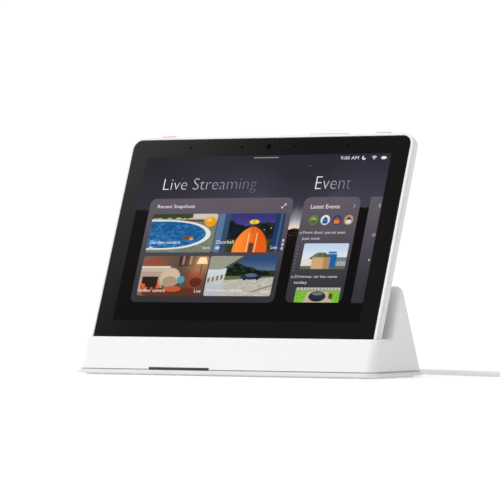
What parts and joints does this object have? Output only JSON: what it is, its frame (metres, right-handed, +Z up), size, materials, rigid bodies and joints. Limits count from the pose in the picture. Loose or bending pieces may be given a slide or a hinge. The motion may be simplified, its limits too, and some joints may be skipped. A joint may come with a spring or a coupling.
{
  "type": "smart home hub",
  "caption": "Tabletop smart home hub: an eight-inch touch display with top-edge buttons that lifts out of a white wedge-shaped charging dock fed by a coiled USB cable.",
  "frame": {"origin": "centre of the non-slip pad's underside, on the table", "axes": "+Z up, -Y towards the person facing the screen, +X to that person's right"},
  "size_m": [0.3156, 0.148, 0.1464],
  "materials": {
    "white_shell": "fine satin texture",
    "white_case": "satin",
    "red_button": "satin",
    "grey_rubber": "matte",
    "smoked_window": "smoked, glossy",
    "circuit_board": "solder mask",
    "screw_steel": "zinc plated",
    "sheet_steel": "stamped sheet",
    "plated_shell": "nickel plated",
    "black_plastic": "moulded",
    "gold_contact": "gold flash",
    "black_glass": "polished, printed black at the back",
    "lit_screen": null,
    "cell_wrap": "film wrap",
    "plug_plastic": "moulded",
    "white_cable": "satin jacket"
  },
  "bodies": {
    "dock": {"dock_shell": "white_shell", "base_plate": "white_shell", "base_pad": "grey_rubber", "base_screw_1": "screw_steel", "base_screw_2": "screw_steel", "base_screw_3": "screw_steel", "base_screw_4": "screw_steel", "status_window": "smoked_window", "status_light": "circuit_board", "ballast_left": "sheet_steel", "ballast_right": "sheet_steel", "dock_board": "circuit_board", "usb_socket": "plated_shell", "contact_block": "black_plastic", "plug_body": "plug_plastic", "plug_tongue": "plated_shell", "cable_run": "white_cable", "cable_coil": "white_cable", "cable_tail": "white_cable", "far_plug_body": "plug_plastic", "far_plug_shell": "plated_shell"},
    "display": {"cover_glass": "black_glass", "display_panel": "lit_screen", "front_frame": "white_case", "mid_frame": "sheet_steel", "rear_housing": "white_case", "battery_pack": "cell_wrap", "main_board": "circuit_board", "shield_can": "sheet_steel", "speaker_left": "black_plastic", "speaker_right": "black_plastic", "camera_module": "black_plastic", "contact_strip": "black_plastic", "contact_pad_1": "gold_contact", "contact_pad_2": "gold_contact", "contact_pad_3": "gold_contact", "contact_pad_4": "gold_contact", "key_board": "circuit_board", "switch_alarm": "black_plastic", "switch_volume_down": "black_plastic", "switch_volume_up": "black_plastic", "switch_power": "black_plastic", "housing_screw_1": "screw_steel", "housing_screw_2": "screw_steel", "housing_screw_3": "screw_steel", "housing_screw_4": "screw_steel"},
    "alarm_button": {"alarm_button": "red_button"},
    "volume_rocker": {"volume_rocker": "white_case"},
    "power_button": {"power_button": "white_case"},
    "contact_pins": {"contact_pin_1": "gold_contact", "contact_pin_2": "gold_contact", "contact_pin_3": "gold_contact", "contact_pin_4": "gold_contact"}
  },
  "joints": [
    {"name": "display_lift", "type": "slide", "parent": "dock", "child": "display", "axis": [0, 0.3681, 0.9298], "range_m": [0, 0.05]},
    {"name": "alarm_press", "type": "slide", "parent": "display", "child": "alarm_button", "axis": [0, -0.3681, -0.9298], "range_m": [0, 0.0005], "stiffness_N_per_m": 1500, "springref_m": -0.0004},
    {"name": "volume_rock", "type": "hinge", "parent": "display", "child": "volume_rocker", "pos_m": [0.03825, 0.03095, 0.14187], "axis": [0, -0.9298, 0.3681], "range_deg": [-1.5, 1.5], "stiffness_Nm_per_rad": 0.09},
    {"name": "power_press", "type": "slide", "parent": "display", "child": "power_button", "axis": [0, -0.3681, -0.9298], "range_m": [0, 0.0005], "stiffness_N_per_m": 1500, "springref_m": -0.0004},
    {"name": "pins_press", "type": "slide", "parent": "dock", "child": "contact_pins", "axis": [0, -0.3681, -0.9298], "range_m": [0, 0.0005], "stiffness_N_per_m": 1200, "springref_m": -0.0004}
  ]
}
